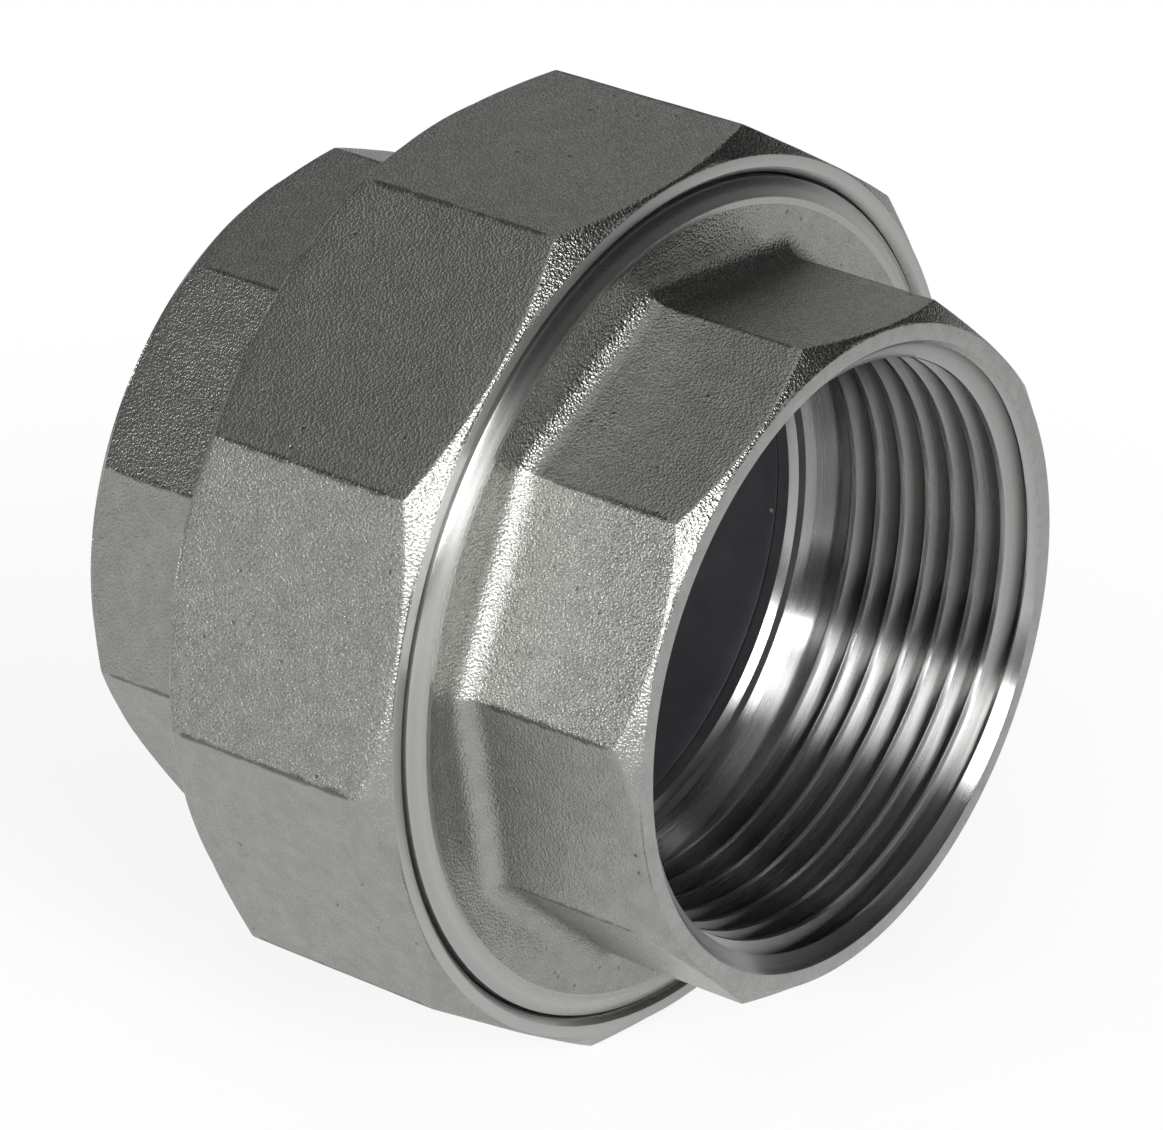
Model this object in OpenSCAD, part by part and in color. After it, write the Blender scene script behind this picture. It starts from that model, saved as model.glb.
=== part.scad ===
// Conical-seat pipe union for 1 1/2 inch pipe: a threaded end, a tail end and the union nut that
// pulls the tail's cone into the threaded end's seat. Stainless castings with turned threads.
// The pipe axis lies along X with the threaded end's mouth at +X, and the part rests on a nut flat.
// Threads are drawn as plain bores and cylinders: pipe threads at their crests, the union thread
// at its pitch diameter.

/* [Pipe sockets] */
// Major diameter of the internal pipe threads
pipe_thread_d = 47.8; // [46.6:0.1:49.4]
// Depth of the pipe threads from crest to root
pipe_thread_depth = 1.48; // [1.1:0.02:1.7]
// Length of full pipe thread behind the mouth chamfer
pipe_thread_length = 14.9; // [13:0.1:16]
// How far the mouth chamfer opens past the major diameter
mouth_flare = 0.3; // [0:0.05:0.8]
// Depth of the mouth chamfer
mouth_chamfer = 1.8; // [1:0.1:2.4]
// Length of the relief behind each pipe thread
relief_length = 4.5; // [3:0.1:5]
// How far the relief is cut past the major diameter
relief_cut = 0.5; // [0.05:0.05:0.6]
// Corner radius at the bottom of the relief
relief_corner = 1.2; // [0.4:0.1:1.6]
// Diameter of the passage between the two sockets
passage_d = 43.2; // [38:0.2:44]

/* [Wrench flats] */
// Number of flats on both ends and on the nut
flat_count = 10; // [8:2:12]
// Wall between the pipe thread and a flat
end_wall = 1.85; // [1.4:0.05:2.4]
// Slope of the turned corner chamfers, from the end face
corner_slope = 40; // [25:1:50]
// How far inside the flats each corner chamfer starts
corner_land = 0.3; // [0.1:0.05:0.8]
// Cast fillet between the threaded end's flats and its collar
root_fillet = 1.8; // [0.6:0.1:2.5]
// Length of the threaded end's wrench part, from mouth to collar
front_flats_length = 15; // [10:0.5:17]
// Length of the tail end's wrench part, from mouth to neck
rear_flats_length = 14; // [11:0.5:18]
// Turn of the threaded end's flats from the nut's, as tightened
front_turn = 10.3; // [-18:0.1:18]
// Turn of the tail end's flats from the nut's, as tightened
rear_turn = -10.3; // [-18:0.1:18]

/* [Union joint] */
// Major diameter of the union thread
union_thread_d = 65; // [64:0.5:69]
// Pitch of the union thread
union_pitch = 2; // [1:0.25:3]
// Radial gap between the union thread's plain surfaces
thread_gap = 0.06; // [0.02:0.01:0.1]
// Width of the turned land between the cast collar and the union thread
collar_land = 1.2; // [0.6:0.1:3]
// Width of the chamfer on that land, twice its depth
land_chamfer = 1.4; // [0.6:0.1:1.6]
// Turned ring left on the collar face inside that chamfer
collar_rim = 0.5; // [0.2:0.1:1.2]
// How far the cast collar face stands out of the tightened nut
collar_stand = 0.5; // [0.2:0.1:3]
// Length of plain passage between the front socket and the seat
passage_land = 1.6; // [0.8:0.1:6]
// Slope of the conical seat, from the pipe axis
seat_slope = 40; // [30:1:45]
// Length of the conical seat along the axis
seat_length = 4.2; // [3:0.1:5.5]
// Step from the passage up to the small end of the seat
seat_step = 0.9; // [0.5:0.1:1.5]
// Gap between the cone and its seat, square to both
seat_gap = 0.04; // [0.02:0.01:0.1]
// How far the cone's tip stays short of the seat's small end
tip_gap = 0.8; // [0.3:0.1:1.6]
// Gap between the collar and the threaded end's face
face_gap = 0.9; // [0.4:0.1:2]
// Thickness of the tail's collar
collar_thickness = 4.5; // [3:0.1:7]
// Radial gap between the collar and the crests of the nut's thread
collar_gap = 0.5; // [0.2:0.1:1]
// Chamfer on the edges of the collar and of the male thread's end
edge_chamfer = 0.8; // [0.3:0.1:1.2]
// How far the tail's neck stands past the corners of its flats
neck_step = 0.2; // [0.1:0.05:0.6]
// Length of neck that shows between the nut and the tail's flats
neck_length = 1.4; // [0.5:0.1:6]

/* [Union nut] */
// Wall between the union thread and a flat of the nut
nut_wall = 2; // [1.6:0.1:4]
// Radial gap between the nut's lip and the tail's neck
lip_gap = 0.3; // [0.1:0.05:0.6]
// Thickness of the lip that holds the collar
lip_thickness = 4.2; // [3:0.1:7]
// Radial gap between the nut's mouth and the turned land
mouth_gap = 0.3; // [0.1:0.05:0.5]
// Chamfer inside the nut's mouth
nut_mouth_chamfer = 0.5; // [0.2:0.1:0.8]
// Depth of the plain mouth in front of the nut's thread
nut_mouth_depth = 1.6; // [1.3:0.1:3]
// Length of the relief behind the nut's thread
nut_relief_length = 2; // [1:0.1:3.5]
// How far that relief is cut past the union thread's major diameter
nut_relief_cut = 0.2; // [0.05:0.05:0.6]

/* [Hidden] */
$fn = 96;
cut = 1; // overrun of a cutting shape past the face that it cuts
bite = 0.01; // a fillet crosses the faces that it blends by this much or more, so it never only touches

corner_r = 1 / cos(180 / flat_count); // corner distance of a polygon whose flats lie at 1
pipe_major_r = pipe_thread_d / 2;
pipe_minor_r = pipe_major_r - pipe_thread_depth;
relief_r = pipe_major_r + relief_cut;
passage_r = passage_d / 2;
socket_depth = mouth_chamfer + pipe_thread_length + relief_length;
end_flat_r = pipe_major_r + end_wall;
end_corner_r = end_flat_r * corner_r;

neck_r = end_corner_r + neck_step;
neck_fillet = neck_r - end_flat_r + 0.3; // reaches past the neck, so it runs out on the neck's side
lip_r = neck_r + lip_gap;
union_major_r = union_thread_d / 2;
union_thread_depth = 0.5413 * union_pitch;
union_pitch_r = union_major_r - 0.6 * union_thread_depth;
nut_thread_r = union_pitch_r + thread_gap;
collar_r = union_major_r - union_thread_depth - collar_gap;
nut_flat_r = union_major_r + nut_wall;
nut_mouth_r = union_major_r + mouth_gap;
nut_relief_r = union_major_r + nut_relief_cut;
cast_collar_r = union_major_r - land_chamfer - collar_rim;
seat_small_r = passage_r + seat_step;
seat_big_r = seat_small_r + seat_length * tan(seat_slope);

// Places along the axis, measured back from the threaded end's mouth
collar_face_z = front_flats_length;
nut_front_z = collar_face_z + collar_stand;
thread_start_z = nut_front_z + collar_land;
seat_end_z = socket_depth + passage_land + seat_length;
collar_front_z = seat_end_z + face_gap;
collar_back_z = collar_front_z + collar_thickness;
nut_back_z = collar_back_z + lip_thickness;
neck_end_z = nut_back_z + neck_length;
total_length = neck_end_z + rear_flats_length;
tip_z = seat_end_z - seat_length + tip_gap;

// Turns a shape that was drawn from z = 0 backwards onto the pipe axis, its start at the front mouth
module on_axis() {
    translate([total_length / 2, 0, 0]) rotate([0, -90, 0]) children();
}

// Ring-shaped or solid turned piece from (radius, place) points
module turned(points) {
    rotate_extrude() polygon(points);
}

// Outline across two opposite flats: straight flanks that flare into the cast fillet at their root
module flat_outline(flat_r, length, fillet, depth) {
    difference() {
        translate([-flat_r - fillet, -cut]) square([2 * (flat_r + fillet), length + 2 * cut]);
        for (side = [0, 1]) mirror([side, 0]) {
            translate([flat_r, -2 * cut]) square([fillet + cut, length - fillet + 2 * cut]);
            translate([flat_r + fillet - depth, length - fillet + depth]) circle(r = fillet);
        }
    }
}

// Many-sided bar with a cast fillet at its root, from slabs that cross at the axis. Each slab's
// fillet bites a little deeper than the last one's, so that no two start at the same point of a ridge.
module flats(flat_r, length, fillet, turn) {
    intersection_for (i = [0 : flat_count / 2 - 1])
        rotate(turn + i * 360 / flat_count)
            rotate([90, 0, 0])
                linear_extrude(height = 4 * flat_r, center = true)
                    flat_outline(flat_r, length, fillet, bite * (1 + i / 2));
}

// Turned envelope with a corner chamfer at z = 0 that starts just inside the flats
module chamfered_end(flat_r, length) {
    face_r = flat_r - corner_land;
    wide_r = 1.2 * flat_r * corner_r;
    turned([[0, 0], [face_r, 0], [wide_r, (wide_r - face_r) * tan(corner_slope)],
            [wide_r, length], [0, length]]);
}

// Wrench part of an end, solid, from its mouth at z = 0 to its root
module wrench_part(length, fillet, turn) {
    intersection() {
        flats(end_flat_r, length, fillet, turn);
        chamfered_end(end_flat_r, length + cut);
    }
}

// Everything that is bored from a mouth at z = 0: chamfer, thread, relief, shoulder and passage
module socket(passage_length) {
    mouth_r = pipe_major_r + mouth_flare;
    mouth_run = (mouth_r - pipe_minor_r) / mouth_chamfer;
    thread_end = mouth_chamfer + pipe_thread_length;
    rotate_extrude() {
        polygon([[0, -cut], [mouth_r + cut * mouth_run, -cut],
                 [pipe_minor_r, mouth_chamfer], [0, mouth_chamfer]]);
        translate([0, mouth_chamfer]) square([pipe_minor_r, pipe_thread_length]);
        translate([0, thread_end]) square([relief_r, relief_length - relief_corner]);
        translate([0, socket_depth - relief_corner]) square([relief_r - relief_corner, relief_corner]);
        intersection() {
            translate([relief_r - relief_corner, socket_depth - relief_corner]) circle(r = relief_corner);
            translate([relief_r - relief_corner, socket_depth - relief_corner]) square(relief_corner);
        }
        translate([0, socket_depth]) square([passage_r, passage_length - socket_depth + cut]);
    }
}

// Front casting: pipe socket, cast collar, turned land, male union thread and conical seat
module threaded_end() {
    land_r = union_major_r;
    land_start_z = collar_face_z + land_chamfer / 2;
    color("silver") on_axis() difference() {
        union() {
            wrench_part(collar_face_z, root_fillet, front_turn);
            turned([[0, collar_face_z], [cast_collar_r + collar_rim, collar_face_z], [land_r, land_start_z],
                    [land_r, thread_start_z], [union_pitch_r, thread_start_z],
                    [union_pitch_r, seat_end_z - edge_chamfer], [union_pitch_r - edge_chamfer, seat_end_z],
                    [0, seat_end_z]]);
        }
        socket(seat_end_z);
        turned([[0, seat_end_z - seat_length], [seat_small_r, seat_end_z - seat_length],
                [seat_big_r, seat_end_z], [seat_big_r, seat_end_z + cut], [0, seat_end_z + cut]]);
    }
}

// Rear casting: pipe socket, neck, collar that the nut pulls on, and the conical nose
module tail_end() {
    cone_shift = seat_gap / cos(seat_slope);
    tip_r = seat_small_r + tip_gap * tan(seat_slope) - cone_shift;
    cone_r = seat_small_r + (collar_front_z - seat_end_z + seat_length) * tan(seat_slope) - cone_shift;
    color("darkgray") on_axis() difference() {
        union() {
            translate([0, 0, total_length]) mirror([0, 0, 1]) intersection() {
                wrench_part(rear_flats_length, neck_fillet, rear_turn);
                cylinder(r = neck_r, h = rear_flats_length + cut);
            }
            turned([[0, tip_z], [tip_r, tip_z], [cone_r, collar_front_z],
                    [collar_r - edge_chamfer, collar_front_z], [collar_r, collar_front_z + edge_chamfer],
                    [collar_r, collar_back_z], [neck_r, collar_back_z], [neck_r, neck_end_z], [0, neck_end_z]]);
        }
        translate([0, 0, total_length]) mirror([0, 0, 1]) socket(total_length - tip_z);
    }
}

// Nut: corner chamfers at both ends, plain mouth, thread bore, relief and the lip behind the collar
module union_nut() {
    nut_length = nut_back_z - nut_front_z;
    thread_start = nut_mouth_depth;
    relief_start = nut_length - lip_thickness - nut_relief_length;
    lip_start = nut_length - lip_thickness;
    mouth_edge_r = nut_mouth_r + nut_mouth_chamfer;
    color("gray") on_axis() translate([0, 0, nut_front_z]) difference() {
        intersection() {
            rotate(180 / flat_count) cylinder(r = nut_flat_r * corner_r, h = nut_length, $fn = flat_count);
            chamfered_end(nut_flat_r, nut_length);
            translate([0, 0, nut_length]) mirror([0, 0, 1]) chamfered_end(nut_flat_r, nut_length);
        }
        turned([[0, -cut], [mouth_edge_r + cut, -cut], [nut_mouth_r, nut_mouth_chamfer],
                [nut_mouth_r, thread_start], [nut_thread_r, thread_start], [nut_thread_r, relief_start],
                [nut_relief_r, relief_start], [nut_relief_r, lip_start], [lip_r, lip_start],
                [lip_r, nut_length + cut], [0, nut_length + cut]]);
    }
}

threaded_end();
tail_end();
union_nut();
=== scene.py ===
import math
from functools import partial
import bmesh
import bpy
import numpy as np
from mathutils import Matrix, Vector


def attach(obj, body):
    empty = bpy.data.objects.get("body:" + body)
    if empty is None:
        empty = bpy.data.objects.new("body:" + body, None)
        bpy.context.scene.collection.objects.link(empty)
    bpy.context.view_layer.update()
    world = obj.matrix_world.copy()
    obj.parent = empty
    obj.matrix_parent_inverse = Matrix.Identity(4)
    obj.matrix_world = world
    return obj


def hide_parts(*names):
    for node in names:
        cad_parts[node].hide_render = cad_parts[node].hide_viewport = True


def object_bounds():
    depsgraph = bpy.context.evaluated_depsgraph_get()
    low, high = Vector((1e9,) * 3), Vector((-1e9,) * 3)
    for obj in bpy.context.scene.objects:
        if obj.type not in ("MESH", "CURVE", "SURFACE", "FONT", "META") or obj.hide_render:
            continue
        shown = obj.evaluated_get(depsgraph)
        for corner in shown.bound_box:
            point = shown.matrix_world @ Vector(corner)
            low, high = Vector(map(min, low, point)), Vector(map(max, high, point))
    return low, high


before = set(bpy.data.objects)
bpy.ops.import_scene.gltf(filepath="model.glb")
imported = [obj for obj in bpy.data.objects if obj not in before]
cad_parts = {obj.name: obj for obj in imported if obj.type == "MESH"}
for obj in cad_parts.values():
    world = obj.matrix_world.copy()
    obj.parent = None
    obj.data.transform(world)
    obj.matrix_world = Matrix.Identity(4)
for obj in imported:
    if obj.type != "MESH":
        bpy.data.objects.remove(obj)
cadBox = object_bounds()
mm = 0.001
scene = bpy.context.scene

# camera, solved from the ten-sided outlines in the photograph

cameraSettings = {
    "azimuth": 39.10,  # degrees round from straight ahead, towards +X
    "elevation": 29.21,
    "roll": -2.47,
    "lookX": -3.34 * mm,  # point on the pipe axis, before the shift in the picture plane
    "shiftRight": 3.16 * mm,
    "shiftUp": -1.24 * mm,
    "distance": 479.7 * mm,
    "lens": 196.2,
    "sensorWidth": 36,
    "clip": (0.01, 20),
}


def makeCamera(settings):
    az, el, roll = (math.radians(settings[k]) for k in ("azimuth", "elevation", "roll"))
    back = Vector((math.sin(az) * math.cos(el), -math.cos(az) * math.cos(el), math.sin(el)))
    right = (-back).cross(Vector((0, 0, 1))).normalized()
    up = right.cross(-back)
    target = Vector((settings["lookX"], 0, 0)) + right * settings["shiftRight"] + up * settings["shiftUp"]
    across = right * math.cos(roll) + up * math.sin(roll)
    upward = up * math.cos(roll) - right * math.sin(roll)
    turn = Matrix((across, upward, back)).transposed()
    data = bpy.data.cameras.new("productCamera")
    data.lens, data.sensor_width = settings["lens"], settings["sensorWidth"]
    data.clip_start, data.clip_end = settings["clip"]
    camera = bpy.data.objects.new("productCamera", data)
    camera.matrix_world = Matrix.Translation(target + back * settings["distance"]) @ turn.to_4x4()
    scene.collection.objects.link(camera)
    scene.camera = camera


makeCamera(cameraSettings)
print("camera ready")

# node helpers


def addNode(tree, kind, inputs=None, links=None, **properties):
    # properties are the node's own; inputs are filled and links joined by socket name
    node = tree.nodes.new(kind)
    for name, value in properties.items():
        setattr(node, name, value)
    for key, value in (inputs or {}).items():
        node.inputs[key].default_value = value
    for key, source in (links or {}).items():
        tree.links.new(source, node.inputs[key])
    return node


def addMath(tree, operation, *values, clamp=False):
    # one Math node; numbers fill its sockets and sockets are linked
    node = tree.nodes.new("ShaderNodeMath")
    node.operation = operation
    node.use_clamp = clamp
    for socket, value in zip(node.inputs, values):
        if isinstance(value, (int, float)):
            socket.default_value = value
        else:
            tree.links.new(value, socket)
    return node.outputs[0]


def addSocket(group, name, kind, default=None, out=False):
    socket = group.interface.new_socket(name, in_out="OUTPUT" if out else "INPUT", socket_type=kind)
    if default is not None:
        socket.default_value = default


def addFloats(group, inputs, outputs=()):
    for name, default in inputs.items():
        addSocket(group, name, "NodeSocketFloat", default)
    for name in outputs:
        addSocket(group, name, "NodeSocketFloat", out=True)


def addRange(tree, source, start, end, low, high, **properties):
    # runs from low to high while the source runs from start to end
    node = addNode(tree, "ShaderNodeMapRange", links={"Value": source}, **properties,
                   inputs={"From Min": start, "From Max": end, "To Min": low, "To Max": high})
    return node.outputs["Result"]


# shader groups shared by the finishes

grainForm = {
    "gritFineness": 1.3,  # waves to one grit size
    "gritShare": 0.5,  # of the height
    "beadFineness": 0.9,
    "beadShare": 0.8,
    "pitFineness": 0.16,
    "pitReach": 0.17,
    "pitDrop": 1.2,
}


def makeBlastedGrain(form):
    # blasted casting skin: grit and beads, soft blotches and a few pits
    group = bpy.data.node_groups.new("blastedGrain", "ShaderNodeTree")
    calc = partial(addMath, group)
    addFloats(group, {"Grit Size": 0.3, "Blotch Size": 6.0, "Pit Amount": 0.5},
              ("Height", "Blotch", "Pits", "Speckle"))
    start = addNode(group, "NodeGroupInput")
    end = addNode(group, "NodeGroupOutput")
    coords = addNode(group, "ShaderNodeTexCoord").outputs["Object"]
    gritScale = calc("DIVIDE", 1 / mm, start.outputs["Grit Size"])
    blotchScale = calc("DIVIDE", 1 / mm, start.outputs["Blotch Size"])
    grit = addNode(group, "ShaderNodeTexNoise", inputs={"Detail": 3.0, "Roughness": 0.7},
                   links={"Vector": coords, "Scale": calc("MULTIPLY", gritScale, form["gritFineness"])})
    beads = addNode(group, "ShaderNodeTexVoronoi",
                    links={"Vector": coords, "Scale": calc("MULTIPLY", gritScale, form["beadFineness"])})
    blotch = addNode(group, "ShaderNodeTexNoise", inputs={"Detail": 4.0, "Roughness": 0.55},
                     links={"Vector": coords, "Scale": blotchScale})
    pits = addNode(group, "ShaderNodeTexVoronoi",
                   links={"Vector": coords, "Scale": calc("MULTIPLY", gritScale, form["pitFineness"])})
    near = calc("SUBTRACT", 1.0, calc("DIVIDE", pits.outputs["Distance"], form["pitReach"], clamp=True))
    draw = addNode(group, "ShaderNodeSeparateColor", links={"Color": pits.outputs["Color"]}).outputs[0]
    pitted = calc("MULTIPLY", near, calc("GREATER_THAN", start.outputs["Pit Amount"], draw))
    height = calc("ADD", calc("MULTIPLY", grit.outputs["Fac"], form["gritShare"]),
                  calc("MULTIPLY", beads.outputs["Distance"], form["beadShare"]))
    height = calc("SUBTRACT", height, calc("MULTIPLY", pitted, form["pitDrop"]))
    for name, source in (("Height", height), ("Blotch", blotch.outputs["Fac"]), ("Pits", pitted),
                         ("Speckle", grit.outputs["Fac"])):
        group.links.new(source, end.inputs[name])
    return group


def makeTurningMarks(streakFineness=0.13):
    # fine rings left by a turning tool round the pipe axis, in broader streaks
    group = bpy.data.node_groups.new("turningMarks", "ShaderNodeTree")
    calc = partial(addMath, group)
    addFloats(group, {"Spacing": 0.15}, ("Height", "Streak"))
    start = addNode(group, "NodeGroupInput")
    end = addNode(group, "NodeGroupOutput")
    coords = addNode(group, "ShaderNodeTexCoord").outputs["Object"]
    x, y, z = addNode(group, "ShaderNodeSeparateXYZ", links={"Vector": coords}).outputs
    radius = calc("SQRT", calc("ADD", calc("MULTIPLY", y, y), calc("MULTIPLY", z, z)))
    place = addNode(group, "ShaderNodeCombineXYZ", links={"X": x, "Y": radius}).outputs[0]
    scale = calc("DIVIDE", 1 / mm, start.outputs["Spacing"])
    rings = addNode(group, "ShaderNodeTexNoise", inputs={"Detail": 2.0},
                    links={"Vector": place, "Scale": scale})
    streak = addNode(group, "ShaderNodeTexNoise", inputs={"Detail": 3.0},
                     links={"Vector": place, "Scale": calc("MULTIPLY", scale, streakFineness)})
    group.links.new(rings.outputs["Fac"], end.inputs["Height"])
    group.links.new(streak.outputs["Fac"], end.inputs["Streak"])
    return group


blastedGrain = makeBlastedGrain(grainForm)
turningMarks = makeTurningMarks()

# finishes

noiseRange = (0.3, 0.7)  # most of a noise's values lie between these
# ragged edge, start, full strength and least ridge closeness of the painted shade along the ridges
ridgeShadeForm = {"ragged": 1.5, "starts": 0.45, "full": 0.85, "least": 0.02}


def newMetal(name):
    material = bpy.data.materials.new(name)
    material.use_nodes = True
    shader = material.node_tree.nodes["Principled BSDF"]
    shader.inputs["Metallic"].default_value = 1.0
    return material, material.node_tree, shader


def addTone(tree, look, source):
    # the look's dark and light, spread over a noise
    ramp = addNode(tree, "ShaderNodeValToRGB", links={"Fac": source})
    first, last = ramp.color_ramp.elements
    first.position, first.color = noiseRange[0], look["dark"]
    last.position, last.color = noiseRange[1], look["light"]
    return ramp.outputs["Color"]


def addTint(tree, colour, tint, amount):
    mix = addNode(tree, "ShaderNodeMix", data_type="RGBA", inputs={"B": tint},
                  links={"Factor": amount, "A": colour})
    return mix.outputs["Result"]


def finishMetal(tree, shader, look, colour, roughness, height):
    # colour, roughness spread over a noise, and bump
    bump = addNode(tree, "ShaderNodeBump", links={"Height": height},
                   inputs={"Strength": look["bump"], "Distance": look["bumpDepth"] * mm})
    tree.links.new(colour, shader.inputs["Base Color"])
    tree.links.new(addRange(tree, roughness, *noiseRange, *look["rough"]), shader.inputs["Roughness"])
    tree.links.new(bump.outputs["Normal"], shader.inputs["Normal"])


def makeCastSteel(name, look):
    material, tree, shader = newMetal(name)
    calc = partial(addMath, tree)
    grain = addNode(tree, "ShaderNodeGroup", node_tree=blastedGrain,
                    inputs={"Grit Size": look["grit"], "Blotch Size": look["blotch"],
                            "Pit Amount": look["pits"]})
    blotch = grain.outputs["Blotch"]
    colour = addTint(tree, addTone(tree, look, blotch), look["pitAndRidgeShadeColour"], grain.outputs["Pits"])
    if "ridgeShade" in look:
        # painted shade along the ridges between the wrench flats, with a ragged edge
        ridge = addNode(tree, "ShaderNodeAttribute", attribute_name="ridge").outputs["Fac"]
        ragged = calc("ADD", ridge, calc("MULTIPLY", calc("SUBTRACT", blotch, 0.5), ridgeShadeForm["ragged"]))
        paintedShade = addRange(tree, ragged, ridgeShadeForm["starts"], ridgeShadeForm["full"], 0.0, look["ridgeShade"])
        paintedShade = calc("MULTIPLY", paintedShade, calc("GREATER_THAN", ridge, ridgeShadeForm["least"]), clamp=True)
        colour = addTint(tree, colour, look["pitAndRidgeShadeColour"], paintedShade)
    finishMetal(tree, shader, look, colour, grain.outputs["Speckle"], grain.outputs["Height"])
    return material


def makeTurnedSteel(name, look):
    material, tree, shader = newMetal(name)
    marks = addNode(tree, "ShaderNodeGroup", node_tree=turningMarks, inputs={"Spacing": look["spacing"]})
    colour = addTone(tree, look, marks.outputs["Streak"])
    # painted shade: darker the deeper down a thread groove or relief, towards the root colour
    if "rootShade" in look:
        groove = addNode(tree, "ShaderNodeAttribute", attribute_name="grooveDepth").outputs["Fac"]
        shade = addMath(tree, "MULTIPLY", addMath(tree, "POWER", groove, 2.0), look["rootShade"], clamp=True)
        colour = addTint(tree, colour, look["rootColour"], shade)
    finishMetal(tree, shader, look, colour, marks.outputs["Streak"], marks.outputs["Height"])
    # the highlight spreads across the marks, which run round the pipe axis
    shader.inputs["Anisotropic"].default_value = look["anisotropic"]
    shader.inputs["Anisotropic Rotation"].default_value = 0.25
    tangent = addNode(tree, "ShaderNodeTangent", direction_type="RADIAL", axis="X")
    tree.links.new(tangent.outputs["Tangent"], shader.inputs["Tangent"])
    return material


# sizes of grit, blotches, spacing and bump depth are in millimetres
castLook = {
    # the last value on the next line is the strength of the painted shade along the ridges; the dark colour
    # serves the pits and this painted shade
    "grit": 0.19, "blotch": 1.6, "pits": 0.12, "bump": 1.0, "bumpDepth": 0.062, "ridgeShade": 0.65,
    "dark": (0.31, 0.31, 0.294, 1), "light": (0.37, 0.37, 0.35, 1), "pitAndRidgeShadeColour": (0.05, 0.05, 0.045, 1),
    "rough": (0.20, 0.32),
}
faceLook = {
    "spacing": 0.12, "anisotropic": 0.9, "bump": 0.5, "bumpDepth": 0.010,
    "dark": (0.40, 0.40, 0.39, 1), "light": (0.50, 0.50, 0.49, 1),
    "rough": (0.24, 0.32),
}
threadLook = {
    "spacing": 0.10, "anisotropic": 1.0, "bump": 0.15, "bumpDepth": 0.010, "rootShade": 0.8,
    "dark": (0.40, 0.40, 0.395, 1), "light": (0.50, 0.50, 0.495, 1), "rootColour": (0.085, 0.080, 0.074, 1),
    "rough": (0.25, 0.30),
}
innerShadeLook = {  # the bore's skin, its dark tone painted shade; its pits are pale specks of dust
    "grit": 0.22, "blotch": 3.0, "pits": 0.02, "bump": 0.4, "bumpDepth": 0.03,
    "dark": (0.10, 0.097, 0.106, 1), "light": (0.125, 0.122, 0.132, 1), "pitAndRidgeShadeColour": (0.60, 0.60, 0.58, 1),
    "rough": (0.55, 0.70),
}
mouthLook = {
    "grit": 0.25, "blotch": 1.2, "pits": 0.10, "bump": 0.6, "bumpDepth": 0.04,
    "dark": (0.33, 0.33, 0.32, 1), "light": (0.40, 0.40, 0.39, 1), "pitAndRidgeShadeColour": (0.10, 0.10, 0.10, 1),
    "rough": (0.24, 0.36),
}

finishes = {
    "cast": makeCastSteel("castSteel", castLook),
    "face": makeTurnedSteel("turnedFace", faceLook),
    "thread": makeTurnedSteel("threadSteel", threadLook),
    # the bore's dark skin stands for painted shade
    "inner": makeCastSteel("innerSkinPaintedShade", innerShadeLook),
    "mouth": makeCastSteel("facedMouth", mouthLook),
}
finishOrder = list(finishes)
print("finishes ready")

# sizes that the pieces share, in millimetres and degrees

fitting = {
    "mouthX": 26.0,  # both mouths lie this far from the middle
    "mouthRadius": 24.2,
    "mouthSlope": 1.0,
    "flatRadius": 25.75,
    "cornerLand": 0.3,
    "cornerSlope": 40,
    "threadStart": 25.85,
    "threadEnd": 9.3,
    "crestRadius": 22.42,
    "rootRadius": 23.9,
    "runOutSlope": 1.73,
    "reliefRadius": 24.4,
    "reliefBack": 4.8,
    "passageRadius": 21.6,
    "passageChamfer": 0.55,
}

outline = {
    "flats": 10,
    "ridgeRound": 0.55,
    "ridgeShadeReach": 1.1,  # degrees from a ridge that the painted ridge shade reaches
    "nearRidge": [0, 0.18, 0.36, 0.54, 0.75, 1.1, 1.7, 2.6],  # degrees from a ridge to its columns
    "flatCells": 12,
    "roundShare": 0.45,  # of the shorter edge that a rounding may take up
    "flatAmount": 0.9,  # cast amount above which two corners bound a wrench flat
    "reliefShade": 0.45,  # the deepest shade of a relief behind a thread
    "reliefMargin": 0.05,
}

# ring-built shells: every row runs once round the pipe axis


def columnAngles(turn):
    # columns crowd round each ridge so that its rounding is smooth
    half = 180 / outline["flats"]
    near = outline["nearRidge"]
    side = near + list(np.linspace(near[-1], half, outline["flatCells"] + 1))[1:]
    offsets = sorted(set([round(a, 6) for a in side] + [round(-a, 6) for a in side[1:-1]]))
    angles = [turn + 2 * half * k + a for k in range(outline["flats"]) for a in offsets]
    return np.radians(np.array(sorted(angles)))


def fromRidge(angles, turn):
    # signed angle to the nearest ridge
    half = math.pi / outline["flats"]
    return (angles - math.radians(turn) + half) % (2 * half) - half


def manySided(angles, apothem, turn):
    # distance from the axis to a many-sided outline with rounded ridges
    half = math.pi / outline["flats"]
    off = fromRidge(angles, turn)
    rounding = outline["ridgeRound"]
    centre = (apothem - rounding) / math.cos(half)
    reach = math.atan2(rounding * math.sin(half), centre + rounding * math.cos(half))
    flat = apothem / np.cos(half - np.abs(off))
    inside = np.maximum(rounding ** 2 - (centre * np.sin(off)) ** 2, 0)
    return np.where(np.abs(off) < reach, centre * np.cos(off) + np.sqrt(inside), flat)


def ridgeCloseness(angles, turn):
    # 1 on a ridge, falling to 0 where the painted ridge shade ends
    return np.clip(1 - np.abs(np.degrees(fromRidge(angles, turn))) / outline["ridgeShadeReach"], 0, 1)


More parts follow.
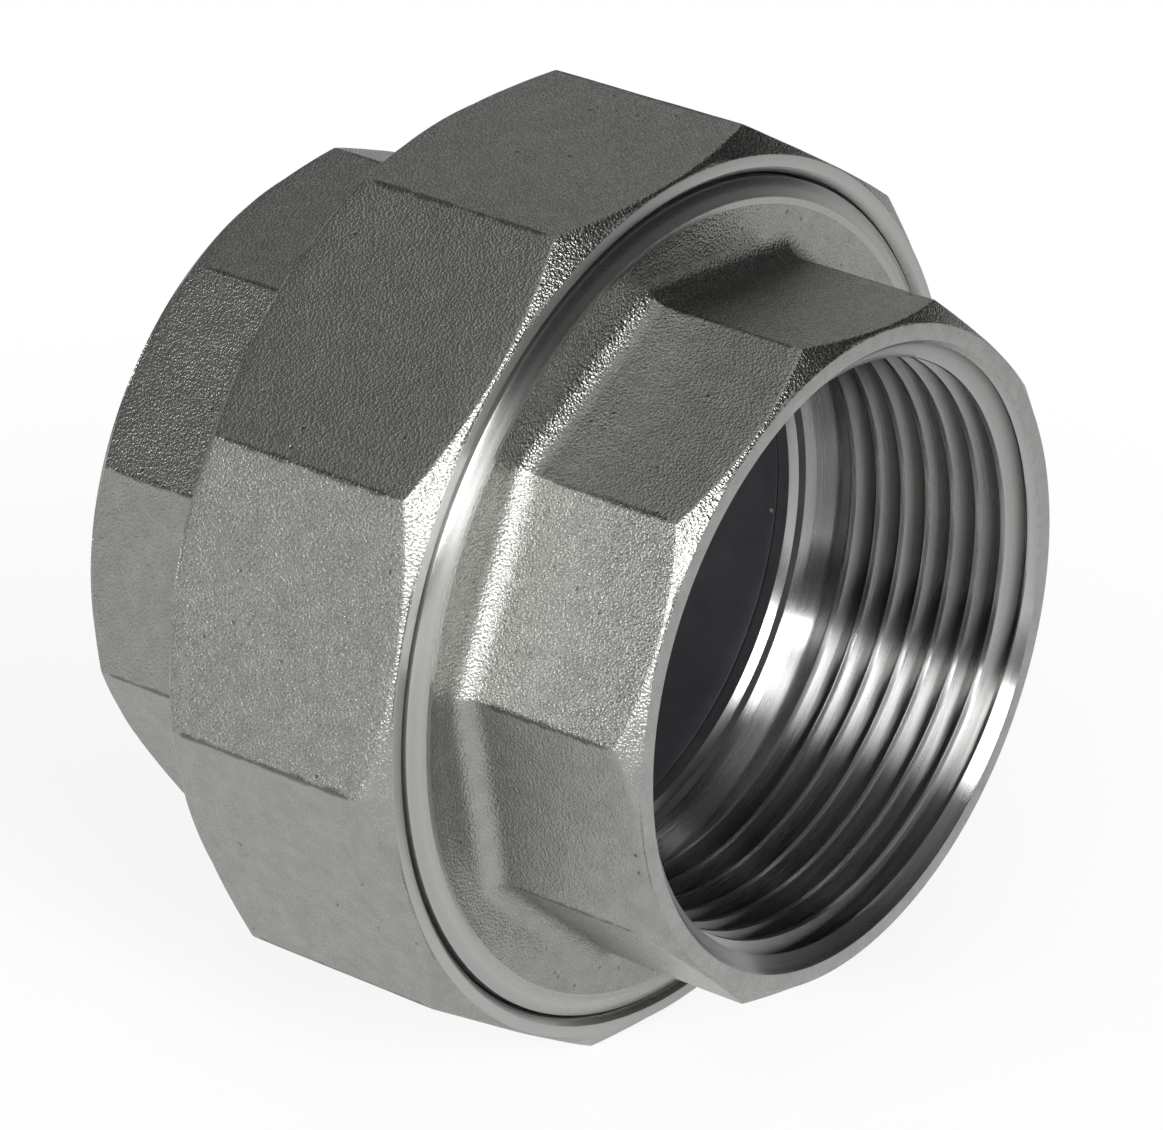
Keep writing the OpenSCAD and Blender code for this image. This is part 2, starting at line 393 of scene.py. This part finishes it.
def cornerArc(points, i, rounding):
    # the corner itself at an end or where it is sharp, otherwise a curve that meets both edges smoothly
    if i in (0, len(points) - 1) or rounding == 0:
        return [points[i]]
    toward, away = points[i] - points[i - 1], points[i + 1] - points[i]
    lengthIn, lengthOut = (np.linalg.norm(v, axis=1, keepdims=True) for v in (toward, away))
    toward, away = toward / lengthIn, away / lengthOut
    bend = np.arccos(np.clip((toward * away).sum(1, keepdims=True), -1, 1))
    cutBack = np.minimum(rounding * np.tan(bend / 2), outline["roundShare"] * np.minimum(lengthIn, lengthOut))
    first, last = points[i] - toward * cutBack, points[i] + away * cutBack
    steps = 2 if rounding < 0.3 else 4 if rounding < 1 else 8
    arc = []
    for s in np.linspace(0, 1, steps + 1):
        weight = 2 * s * (1 - s) * np.cos(bend / 2)
        whole = (1 - s) ** 2 + weight + s ** 2
        arc.append(((1 - s) ** 2 * first + weight * points[i] + s ** 2 * last) / whole)
    return arc


def roundedRows(corners, count):
    # corners: x, r, rounding, cells to the next corner, finish of the band to the next corner, cast amount
    # x and r may be one value or one value per column
    # returns rows of points, their finish, their cast amount and 1 for rows along the wrench flats
    points = [np.stack([np.broadcast_to(c[0], count), np.broadcast_to(c[1], count)], 1).astype(float)
              for c in corners]
    arcs = [cornerArc(points, i, corner[2]) for i, corner in enumerate(corners)]
    rows, bands, cast, straight = [], [], [], []
    for i, (cells, finish, amount) in enumerate(corner[3:] for corner in corners):
        arc = arcs[i]
        for k, row in enumerate(arc):
            if rows:
                bands.append(corners[i - 1][4] if k <= len(arc) // 2 else finish)
            rows.append(row)
            cast.append(amount)
            straight.append(0)
        if i + 1 == len(corners):
            break
        nextRow, nextAmount = arcs[i + 1][0], corners[i + 1][5]
        for s in np.arange(1, cells) / cells:
            bands.append(finish)
            rows.append(arc[-1] * (1 - s) + nextRow * s)
            cast.append(max(amount, nextAmount) if finish in ("cast", "inner") else 0)
            straight.append(1 if min(amount, nextAmount) > outline["flatAmount"] else 0)
    return rows, bands, cast, straight


def shellMesh(name, angles, turn, profiles, rearward=True):
    # rows become quads, with a finish on each face, and cast amount, groove depth and ridge on each point
    # rearward: the rows run from the front mouth back over the outside; either way the normals point in
    verts, faces, marks, casts, ridges, grooves = [], [], [], [], [], []
    closeness = ridgeCloseness(angles, turn)
    cosines, sines = np.cos(angles), np.sin(angles)
    count = len(angles)
    crest, relief = fitting["crestRadius"], fitting["reliefRadius"]
    for profile in profiles:
        rows, bands, cast, straight = roundedRows(profile, count)
        base = len(verts)
        for row, amount, plain in zip(rows, cast, straight):
            radius = row[:, 1]
            verts.extend(np.stack([row[:, 0], radius * cosines, radius * sines], 1) * mm)
            casts.extend([amount] * count)
            ridges.extend(closeness * plain)
            hollow = np.clip((radius - crest) / (relief - crest), 0, outline["reliefShade"])
            grooves.extend(np.where(radius < relief + outline["reliefMargin"], hollow, 0))
        for i, band in enumerate(bands):
            for j in range(count):
                a, b = base + i * count + j, base + i * count + (j + 1) % count
                quad = (a, b, b + count, a + count)
                faces.append(quad if rearward else quad[::-1])
                marks.append(finishOrder.index(band))
    mesh = bpy.data.meshes.new(name)
    mesh.from_pydata([tuple(v) for v in verts], [], faces)
    mesh.attributes.new("finish", "INT", "FACE").data.foreach_set("value", marks)
    for key, values in (("castAmount", casts), ("grooveDepth", grooves), ("ridge", ridges)):
        mesh.attributes.new(key, "FLOAT", "POINT").data.foreach_set("value", np.array(values, np.float32))
    return mesh


# Geometry Nodes: the casting's skin and the screw threads


def finishSocket(key):
    return key + " finish"


def addAttribute(tree, name, kind):
    return addNode(tree, "GeometryNodeInputNamedAttribute", data_type=kind, inputs={"Name": name}).outputs[0]


def makeCastingTree():
    # sinks cast surfaces by low irregular waves and gives every band its finish
    tree = bpy.data.node_groups.new("castingSkin", "GeometryNodeTree")
    calc = partial(addMath, tree)
    addSocket(tree, "Geometry", "NodeSocketGeometry")
    addFloats(tree, {"Wave Depth": 0.1 * mm, "Wave Length": 14 * mm, "Ripple Depth": 0.03 * mm,
                     "Ripple Length": 2.5 * mm, "Seed": 1.0})
    for key in finishOrder:
        addSocket(tree, finishSocket(key), "NodeSocketMaterial")
    addSocket(tree, "Geometry", "NodeSocketGeometry", out=True)
    start = addNode(tree, "NodeGroupInput")
    end = addNode(tree, "NodeGroupOutput")
    place = addNode(tree, "GeometryNodeInputPosition").outputs[0]
    amount = addAttribute(tree, "castAmount", "FLOAT")
    parts = []
    for name, detail in (("Wave", 1.0), ("Ripple", 2.0)):
        scale = calc("DIVIDE", 1.0, start.outputs[name + " Length"])
        noise = addNode(tree, "ShaderNodeTexNoise", noise_dimensions="4D", inputs={"Detail": detail},
                        links={"Vector": place, "Scale": scale, "W": start.outputs["Seed"]})
        sunk = calc("MULTIPLY", noise.outputs[0], 2.0)  # never below 0, and shell normals point in
        parts.append(calc("MULTIPLY", sunk, start.outputs[name + " Depth"]))
    shift = calc("MULTIPLY", calc("ADD", *parts), amount)
    normal = addNode(tree, "GeometryNodeInputNormal").outputs[0]
    offset = addNode(tree, "ShaderNodeVectorMath", operation="SCALE",
                     links={"Vector": normal, "Scale": shift}).outputs[0]
    current = addNode(tree, "GeometryNodeSetPosition",
                      links={"Geometry": start.outputs["Geometry"], "Offset": offset}).outputs[0]
    current = addNode(tree, "GeometryNodeRealizeInstances", links={"Geometry": current}).outputs[0]
    mark = addAttribute(tree, "finish", "INT")
    for i, key in enumerate(finishOrder):
        chosen = addNode(tree, "FunctionNodeCompare", data_type="INT", operation="EQUAL",
                         inputs={"B": i}, links={"A": mark}).outputs[0]
        current = addNode(tree, "GeometryNodeSetMaterial",
                          links={"Geometry": current, "Selection": chosen,
                                 "Material": start.outputs[finishSocket(key)]}).outputs[0]
    tree.links.new(current, end.inputs[0])
    return tree


# sockets of the thread tree that hold lengths, and the names of their values in a thread's dictionary
threadLengths = {
    "Start": "start", "End": "end", "Pitch": "pitch", "Phase": "phase",
    "Crest Radius": "crest", "Root Radius": "root", "Groove Half Width": "grooveHalf",
    "Rounding": "rounding", "Start Radius": "startRadius", "End Radius": "endRadius",
}
threadNumbers = {
    "Side": "side", "Flank Slope": "flankSlope", "Start Slope": "startSlope", "End Slope": "endSlope",
}
weldDistance = 0.0005 * mm


def makeThreadTree():
    # bends a flat blank (x: place along the screw, y: angle) into a screw thread between two turned cones
    # Side is 1 for a thread in a bore and -1 for one on a shaft
    tree = bpy.data.node_groups.new("screwThread", "GeometryNodeTree")
    calc = partial(addMath, tree)
    addSocket(tree, "Geometry", "NodeSocketGeometry")
    addFloats(tree, {**dict.fromkeys(threadLengths, mm), **dict.fromkeys(threadNumbers, 1.0)})
    addSocket(tree, "Finish", "NodeSocketMaterial")
    addSocket(tree, "Geometry", "NodeSocketGeometry", out=True)
    start = addNode(tree, "NodeGroupInput")
    end = addNode(tree, "NodeGroupOutput")
    value = start.outputs
    flat = addNode(tree, "GeometryNodeInputPosition").outputs[0]
    along, angle, _ = addNode(tree, "ShaderNodeSeparateXYZ", links={"Vector": flat}).outputs
    lead = calc("MULTIPLY", calc("DIVIDE", angle, 2 * math.pi), value["Pitch"])
    x = calc("MINIMUM", calc("MAXIMUM", calc("ADD", along, lead), value["End"]), value["Start"])
    turns = calc("DIVIDE", calc("SUBTRACT", calc("SUBTRACT", x, lead), value["Phase"]), value["Pitch"])
    fromGroove = calc("ABSOLUTE", calc("SUBTRACT", calc("FRACT", turns), 0.5))
    across = calc("MULTIPLY", fromGroove, value["Pitch"])
    side = value["Side"]
    crest = calc("MULTIPLY", value["Crest Radius"], side)
    root = calc("MULTIPLY", value["Root Radius"], side)
    rise = calc("DIVIDE", calc("SUBTRACT", value["Groove Half Width"], across), value["Flank Slope"])
    depth = calc("SMOOTH_MIN", root, calc("ADD", crest, rise), value["Rounding"])
    depth = calc("SMOOTH_MAX", crest, depth, value["Rounding"])
    startCone = calc("SUBTRACT", calc("MULTIPLY", value["Start Radius"], side),
                     calc("MULTIPLY", calc("SUBTRACT", value["Start"], x), value["Start Slope"]))
    endCone = calc("SUBTRACT", calc("MULTIPLY", value["End Radius"], side),
                   calc("MULTIPLY", calc("SUBTRACT", x, value["End"]), value["End Slope"]))
    # groove depth, stored for the painted shade in the thread roots; none where the cones take over
    groove = calc("DIVIDE", calc("SUBTRACT", depth, crest), calc("SUBTRACT", root, crest), clamp=True)
    coned = calc("GREATER_THAN", calc("MAXIMUM", startCone, endCone), depth)
    groove = calc("MULTIPLY", groove, calc("SUBTRACT", 1.0, coned))
    depth = calc("MAXIMUM", calc("MAXIMUM", depth, startCone), endCone)
    radius = calc("MULTIPLY", depth, side)
    y = calc("MULTIPLY", radius, calc("COSINE", angle))
    z = calc("MULTIPLY", radius, calc("SINE", angle))
    place = addNode(tree, "ShaderNodeCombineXYZ", links={"X": x, "Y": y, "Z": z}).outputs[0]
    current = addNode(tree, "GeometryNodeStoreNamedAttribute", data_type="FLOAT", domain="POINT",
                      inputs={"Name": "grooveDepth"},
                      links={"Geometry": value["Geometry"], "Value": groove}).outputs[0]
    for kind, inputs, links in (("GeometryNodeSetPosition", {}, {"Position": place}),
                                ("GeometryNodeMergeByDistance", {"Distance": weldDistance}, {}),
                                ("GeometryNodeRealizeInstances", {}, {}),
                                ("GeometryNodeSetMaterial", {}, {"Material": value["Finish"]})):
        current = addNode(tree, kind, inputs=inputs, links={"Geometry": current, **links}).outputs[0]
    tree.links.new(current, end.inputs[0])
    return tree


castingTree = makeCastingTree()
threadTree = makeThreadTree()


def runTree(mesh, tree, values):
    # applies a tree to a mesh and returns the plain result
    thing = bpy.data.objects.new("blank", mesh)
    scene.collection.objects.link(thing)
    modifier = thing.modifiers.new("shape", "NODES")
    modifier.node_group = tree
    sockets = {item.name: item.identifier for item in tree.interface.items_tree if item.in_out == "INPUT"}
    for name, value in values.items():
        modifier[sockets[name]] = value
    result = bpy.data.meshes.new_from_object(thing.evaluated_get(bpy.context.evaluated_depsgraph_get()))
    thing.modifiers.clear()
    bpy.data.objects.remove(thing)
    return result


def castMesh(shell, waves):
    values = {name: size * mm for name, size in waves["sizes"].items()}
    values["Seed"] = waves["seed"]
    values.update({finishSocket(key): finishes[key] for key in finishOrder})
    return runTree(shell, castingTree, values)


def threadMesh(angles, spec):
    # flat blank: one column per angle, plus the first again a turn later
    turnsAround = np.append(angles, angles[0] + 2 * math.pi)
    pitch, cells = spec["pitch"], spec["cells"]
    lowest = spec["end"] - pitch * (turnsAround.max() / (2 * math.pi)) - pitch
    highest = spec["start"] - pitch * (turnsAround.min() / (2 * math.pi)) + pitch
    first, last = math.floor(lowest / pitch * cells), math.ceil(highest / pitch * cells)
    along = np.arange(first, last + 1) * pitch / cells
    columns = len(turnsAround)
    verts = [(a * mm, t, 0) for a in along for t in turnsAround]
    faces = [(i * columns + j, i * columns + j + 1, (i + 1) * columns + j + 1, (i + 1) * columns + j)
             for i in range(len(along) - 1) for j in range(columns - 1)]
    mesh = bpy.data.meshes.new("threadBlank")
    mesh.from_pydata(verts, [], faces)
    values = {"Finish": finishes["thread"]}
    values.update({name: float(spec[key]) for name, key in threadNumbers.items()})
    values.update({name: spec[key] * mm for name, key in threadLengths.items()})
    return runTree(mesh, threadTree, values)


def joinPiece(name, meshes, body, node, creaseDegrees=28, joinDistance=0.002 * mm):
    # joins the parts of one casting into one closed mesh that stands for its node
    shape = bmesh.new()
    slots = list(finishes.values())
    for mesh in meshes:
        part = bmesh.new()
        part.from_mesh(mesh)
        order = [slots.index(m) if m in slots else 0 for m in mesh.materials] or [0]
        for face in part.faces:
            face.material_index = order[face.material_index]
        holder = bpy.data.meshes.new("part")
        part.to_mesh(holder)
        part.free()
        shape.from_mesh(holder)
        bpy.data.meshes.remove(holder)
    bmesh.ops.remove_doubles(shape, verts=shape.verts, dist=joinDistance)
    bmesh.ops.dissolve_degenerate(shape, edges=shape.edges, dist=weldDistance)
    bmesh.ops.recalc_face_normals(shape, faces=shape.faces)
    volume = shape.calc_volume(signed=True)
    if volume < 0:
        bmesh.ops.reverse_faces(shape, faces=shape.faces)
    crease = math.radians(creaseDegrees)
    for face in shape.faces:
        face.smooth = True
    for edge in shape.edges:
        edge.smooth = not (len(edge.link_faces) == 2 and edge.calc_face_angle(0) > crease)
    openEdges = sum(1 for e in shape.edges if len(e.link_faces) != 2)
    mesh = bpy.data.meshes.new(name)
    shape.to_mesh(mesh)
    shape.free()
    for material in slots:
        mesh.materials.append(material)
    piece = bpy.data.objects.new(name, mesh)
    scene.collection.objects.link(piece)
    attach(piece, body)
    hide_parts(node)
    triangles = sum(len(p.vertices) - 2 for p in mesh.polygons)
    print(name, "triangles", triangles, "open edges", openEdges, "volume mm3", round(abs(volume) * 1e9))


# both ends: mouth, pipe thread and the hollow behind it

pipeThread = {
    "side": 1, "pitch": 2.309, "cells": 14, "grooveHalf": 0.95, "flankSlope": 0.5206, "rounding": 0.16,
}
reliefHollow = (  # in front of the shoulder, under the relief's radius, and rounding
    (0.15, 1.55, 0.3),
    (0.70, 0.95, 0.6),
    (2.20, 0.12, 0.8),
)


def threadMouth():
    # x and radius where the thread starts, just inside the mouth
    x = fitting["threadStart"]
    return x, fitting["mouthRadius"] - (fitting["mouthX"] - x) * fitting["mouthSlope"]


def threadRunOut():
    # x and radius where the thread has run out into the relief
    relief = fitting["reliefRadius"]
    return fitting["threadEnd"] - (relief - fitting["crestRadius"]) / fitting["runOutSlope"], relief


def socketThread(angles, sign, phase):
    # internal pipe thread; sign 1 is the front mouth's and -1 the rear mouth's
    start, end = (*threadMouth(), fitting["mouthSlope"]), (*threadRunOut(), fitting["runOutSlope"])
    if sign < 0:
        start, end = end, start
    return threadMesh(angles, {
        **pipeThread, "crest": fitting["crestRadius"], "root": fitting["rootRadius"], "phase": phase,
        "start": sign * start[0], "startRadius": start[1], "startSlope": start[2],
        "end": sign * end[0], "endRadius": end[1], "endSlope": end[2]})


def wrenchCorners(angles, turn, sign, rootX, fillet):
    # mouth ring, corner chamfer and flats, from inside the mouth outwards and back to the root
    x, slope = fitting["mouthX"], math.tan(math.radians(fitting["cornerSlope"]))
    flats = manySided(angles, fitting["flatRadius"], turn)
    faceRadius = fitting["flatRadius"] - fitting["cornerLand"]
    startX, startRadius = threadMouth()
    return [
        (sign * startX, startRadius, 0, 1, "thread", 0),
        (sign * x, fitting["mouthRadius"], 0.08, 2, "mouth", 0),
        (sign * x, faceRadius, 0.25, 3, "cast", 0.25),
        (sign * (x - (flats - faceRadius) * slope), flats, 0.5, 12, "cast", 1),
        (sign * rootX, flats, fillet, 4, "cast", 1),
    ]


def socketBack(sign, passageEnd):
    # from the plain passage over its turned edge and the hollow shoulder to the thread's deep end
    back, edge, chamfer = fitting["reliefBack"], fitting["passageRadius"], fitting["passageChamfer"]
    deepX, relief = threadRunOut()
    hollow = [(sign * (back + ahead), relief - under, rounding, 1, "thread", 0)
              for ahead, under, rounding in reliefHollow]
    return [
        (sign * passageEnd, edge, 0.1, 6, "inner", 0),
        (sign * (back - chamfer), edge, 0.05, 1, "face", 0),
        (sign * back, edge + chamfer, 0.05, 1, "inner", 0),
        *hollow,
        (sign * deepX, relief, 0, 1, "thread", 0),
    ]


# union thread, on the threaded end and in the nut

unionThread = {"pitch": 2.0, "cells": 9, "flankSlope": 0.577, "rounding": 0.1}
endWaves = {"Wave Depth": 0.10, "Wave Length": 13, "Ripple Depth": 0.025, "Ripple Length": 2.2}

# threaded end

threadedEnd = {
    "turn": -10.3,  # degrees, of its ridges against the nut's
    "rootX": 11.0,
    "fillet": 1.8,
    "collarRadius": 30.6,
    "rimRadius": 31.1,
    "landFront": 10.3,
    "landBack": 9.3,
    "landRadius": 32.5,
    "threadFront": 9.0,
    "threadBack": -0.7,
    "undercutRadius": 31.0,
    "rearRadius": 30.7,
    "seatBig": 26.02,
    "seatSmall": 22.5,
    "rearX": -1.0,
    "seatX": 3.2,
    "phase": 0.6,
    "unionThread": {"side": -1, "crest": 32.42, "root": 31.30, "grooveHalf": 0.82, "phase": 0.3,
                    "startSlope": 1.2, "endSlope": 1.0},
    "waves": {"sizes": endWaves, "seed": 3.0},
}


def makeThreadedEnd(spec):
    angles = columnAngles(spec["turn"])
    undercut = spec["undercutRadius"]
    outside = wrenchCorners(angles, spec["turn"], 1, spec["rootX"], spec["fillet"]) + [
        (spec["rootX"], spec["collarRadius"], 0, 1, "face", 0.3),
        (spec["rootX"], spec["rimRadius"], 0.12, 2, "face", 0),
        (spec["landFront"], spec["landRadius"], 0.12, 2, "face", 0),
        (spec["landBack"], spec["landRadius"], 0.1, 1, "face", 0),
        (spec["threadFront"], undercut, 0, 1, "thread", 0),
    ]
    inside = [
        (spec["threadBack"], undercut, 0, 1, "face", 0),
        (spec["rearX"], spec["rearRadius"], 0.1, 3, "face", 0),
        (spec["rearX"], spec["seatBig"], 0.15, 5, "face", 0),
        (spec["seatX"], spec["seatSmall"], 0.1, 1, "face", 0),
    ] + socketBack(1, spec["seatX"])
    screw = {**unionThread, **spec["unionThread"], "start": spec["threadFront"], "end": spec["threadBack"],
             "startRadius": undercut, "endRadius": undercut}
    shell = shellMesh("threadedEndShell", angles, spec["turn"], [outside, inside])
    parts = [castMesh(shell, spec["waves"]), socketThread(angles, 1, spec["phase"]),
             threadMesh(angles, screw)]
    joinPiece("threadedEndCasting", parts, "threaded_end", "threaded_end")


makeThreadedEnd(threadedEnd)
print("threaded end ready")

# tail end

tailEnd = {
    "turn": 10.3,
    "rootX": 12.0,
    "fillet": 1.2,
    "neckStep": 0.02,
    "neckRadius": 27.28,
    "collarRadius": 30.9,
    "collarChamfer": 0.8,
    "collarBack": -6.4,
    "collarFront": -1.9,
    "coneRadius": 25.22,
    "coneX": 2.4,
    "coneEndRadius": 23.12,
    "noseX": 3.10,
    "noseRadius": 22.40,
    "phase": 0.2,
    "waves": {"sizes": endWaves, "seed": 7.0},
}


def makeTailEnd(spec):
    angles = columnAngles(spec["turn"])
    neck, collar, chamfer = spec["neckRadius"], spec["collarRadius"], spec["collarChamfer"]
    outside = wrenchCorners(angles, spec["turn"], -1, spec["rootX"], spec["fillet"]) + [
        (-spec["rootX"] + spec["neckStep"], neck, 0.2, 4, "cast", 0.2),
        (spec["collarBack"], neck, 0.4, 3, "face", 0),
        (spec["collarBack"], collar, 0.2, 3, "face", 0),
        (spec["collarFront"] - chamfer, collar, 0.1, 1, "face", 0),
        (spec["collarFront"], collar - chamfer, 0.1, 3, "face", 0),
        (spec["collarFront"], spec["coneRadius"], 0.3, 6, "face", 0),
        (spec["coneX"], spec["coneEndRadius"], 0.1, 1, "face", 0),
        (spec["noseX"], spec["noseRadius"], 0.05, 1, "inner", 0),
    ] + socketBack(-1, -spec["noseX"])
    shell = shellMesh("tailEndShell", angles, spec["turn"], [outside], rearward=False)
    parts = [castMesh(shell, spec["waves"]), socketThread(angles, -1, spec["phase"])]
    joinPiece("tailEndCasting", parts, "tail_end", "tail_end")


makeTailEnd(tailEnd)
print("tail end ready")

# union nut

unionNut = {
    "frontX": 10.5,
    "backX": -10.6,
    "flatRadius": 34.5,
    "mouthRadius": 32.8,
    "mouthChamfer": 0.5,
    "threadFront": 8.9,
    "threadBack": -4.6,
    "frontRadius": 32.6,
    "undercutRadius": 32.7,
    "lipRadius": 27.575,
    "lipFront": -6.4,
    "unionThread": {"side": 1, "crest": 31.50, "root": 32.55, "grooveHalf": 0.75, "phase": 1.3,
                    "startSlope": 1.0, "endSlope": 1.2},
    "waves": {"sizes": {"Wave Depth": 0.14, "Wave Length": 16, "Ripple Depth": 0.03, "Ripple Length": 2.5},
              "seed": 11.0},
}


def makeUnionNut(spec):
    angles = columnAngles(0)
    flats = manySided(angles, spec["flatRadius"], 0)
    faceRadius = spec["flatRadius"] - fitting["cornerLand"]
    runBack = (flats - faceRadius) * math.tan(math.radians(fitting["cornerSlope"]))
    front, back = spec["frontX"], spec["backX"]
    mouth, chamfer, undercut = spec["mouthRadius"], spec["mouthChamfer"], spec["undercutRadius"]
    outside = [
        (spec["threadFront"], spec["frontRadius"], 0, 2, "face", 0),
        (front - chamfer, mouth, 0.1, 2, "face", 0),
        (front, mouth + chamfer, 0.08, 2, "face", 0),
        (front, faceRadius, 0.2, 3, "cast", 0.25),
        (front - runBack, flats, 0.6, 18, "cast", 1),
        (back + runBack, flats, 0.6, 3, "cast", 1),
        (back, faceRadius, 0.3, 5, "cast", 0.5),
        (back, spec["lipRadius"], 0.3, 3, "face", 0),
        (spec["lipFront"], spec["lipRadius"], 0.1, 4, "face", 0),
        (spec["lipFront"], undercut, 0.2, 2, "face", 0),
        (spec["threadBack"], undercut, 0, 1, "thread", 0),
    ]
    screw = {**unionThread, **spec["unionThread"], "start": spec["threadFront"], "end": spec["threadBack"],
             "startRadius": spec["frontRadius"], "endRadius": undercut}
    shell = shellMesh("unionNutShell", angles, 0, [outside])
    parts = [castMesh(shell, spec["waves"]), threadMesh(angles, screw)]
    joinPiece("unionNutCasting", parts, "union_nut", "union_nut")


makeUnionNut(unionNut)
print("union nut ready")

# floor and light

studio = {
    "floorHalf": 3.0,
    "floorTone": 0.80,
    "floorRough": 0.9,
    "floorSeen": 0.82,  # how far the camera sees plain white near the part; the rest keeps the shadow
    "shadowRadius": 0.08,
    "shadowFade": 0.09,
    "sheetRadius": 0.13,  # a white sheet under the part, which reflections see
    "sheetFade": 0.12,
    "sheetMirrored": 0.38,
    "sheetCentre": (0, -0.06),
    "floorMirrored": 0.12,  # and the floor beyond it
    "skyLevel": 0.17,
    "darkSide": (0.64, 0.77, 0.05),  # the studio is dark behind the part, to its right
    "darkStarts": 0.25,
    "darkFull": 0.85,
    "darkLevel": 0.02,
    # name: degrees round from +X, degrees up, distance, width, height, brightness
    "lights": {
        "rightPanel": (-23, 25, 0.9, 0.30, 0.42, 16.0),
        "frontStrip": (-68, 27, 0.9, 1.10, 0.08, 19.0),
        "leftPanel": (-116, 20, 0.9, 0.36, 0.30, 1.9),
        "topPanel": (-60, 86, 1.1, 1.10, 1.10, 0.65),
        "backPanel": (120, 24, 1.0, 0.50, 0.36, 0.50),
    },
}


def softLight(name, around, up, distance, width, height, brightness):
    # a rectangle that faces the part, as bright to look at wherever it stands
    around, up = math.radians(around), math.radians(up)
    data = bpy.data.lights.new(name, "AREA")
    data.shape = "RECTANGLE"
    data.size, data.size_y = width, height
    data.energy = brightness * math.pi * width * height
    lamp = bpy.data.objects.new(name, data)
    level = math.cos(up)
    lamp.location = Vector((math.cos(around) * level, math.sin(around) * level, math.sin(up))) * distance
    lamp.rotation_euler = (-lamp.location).to_track_quat("-Z", "Y").to_euler()
    scene.collection.objects.link(lamp)


def makeFloor(settings):
    low, half = cadBox[0][2], settings["floorHalf"]
    mesh = bpy.data.meshes.new("floor")
    mesh.from_pydata([(-half, -half, low), (half, -half, low), (half, half, low), (-half, half, low)], [],
                     [(0, 1, 2, 3)])
    floor = bpy.data.objects.new("floor", mesh)
    scene.collection.objects.link(floor)
    material = bpy.data.materials.new("floorWhite")
    material.use_nodes = True
    tree = material.node_tree
    calc = partial(addMath, tree)
    shader = tree.nodes["Principled BSDF"]
    shader.inputs["Roughness"].default_value = settings["floorRough"]
    shader.inputs["Specular IOR Level"].default_value = 0.0
    glow = addNode(tree, "ShaderNodeEmission", inputs={"Color": (1, 1, 1, 1), "Strength": 1.0})
    path = addNode(tree, "ShaderNodeLightPath").outputs
    tree.links.new(calc("MAXIMUM", path["Is Camera Ray"], settings["floorTone"]), shader.inputs["Base Color"])
    place = addNode(tree, "ShaderNodeTexCoord").outputs["Object"]
    offset = addNode(tree, "ShaderNodeVectorMath", operation="SUBTRACT", links={0: place},
                     inputs={1: (*settings["sheetCentre"], 0)}).outputs[0]
    away = addNode(tree, "ShaderNodeVectorMath", operation="LENGTH", links={0: offset}).outputs["Value"]
    soft = {"interpolation_type": "SMOOTHSTEP"}
    sheet = addRange(tree, away, settings["sheetRadius"], settings["sheetRadius"] + settings["sheetFade"],
                     settings["sheetMirrored"], settings["floorMirrored"], **soft)
    white = addRange(tree, away, settings["shadowRadius"], settings["shadowRadius"] + settings["shadowFade"],
                     settings["floorSeen"], 1.0, **soft)
    mirrored = calc("MAXIMUM", path["Is Glossy Ray"], path["Is Transmission Ray"])
    glowing = calc("MAXIMUM", calc("MULTIPLY", path["Is Camera Ray"], white),
                   calc("MULTIPLY", mirrored, sheet))
    mix = addNode(tree, "ShaderNodeMixShader", links={0: glowing, 1: shader.outputs[0], 2: glow.outputs[0]})
    tree.links.new(mix.outputs[0], tree.nodes["Material Output"].inputs["Surface"])
    mesh.materials.append(material)


def makeStudio(settings):
    makeFloor(settings)
    world = bpy.data.worlds.new("studioWorld")
    scene.world = world
    world.use_nodes = True
    tree = world.node_tree
    background = tree.nodes["Background"]
    background.inputs["Color"].default_value = (1, 1, 1, 1)
    view = addNode(tree, "ShaderNodeTexCoord").outputs["Generated"]
    facing = addNode(tree, "ShaderNodeVectorMath", operation="DOT_PRODUCT", inputs={1: settings["darkSide"]},
                     links={0: view}).outputs["Value"]
    level = addRange(tree, facing, settings["darkStarts"], settings["darkFull"], settings["skyLevel"],
                     settings["darkLevel"], interpolation_type="SMOOTHSTEP")
    tree.links.new(level, background.inputs["Strength"])
    for name, values in settings["lights"].items():
        softLight(name, *values)


makeStudio(studio)
scene.view_settings.view_transform = "Standard"
print("studio ready")
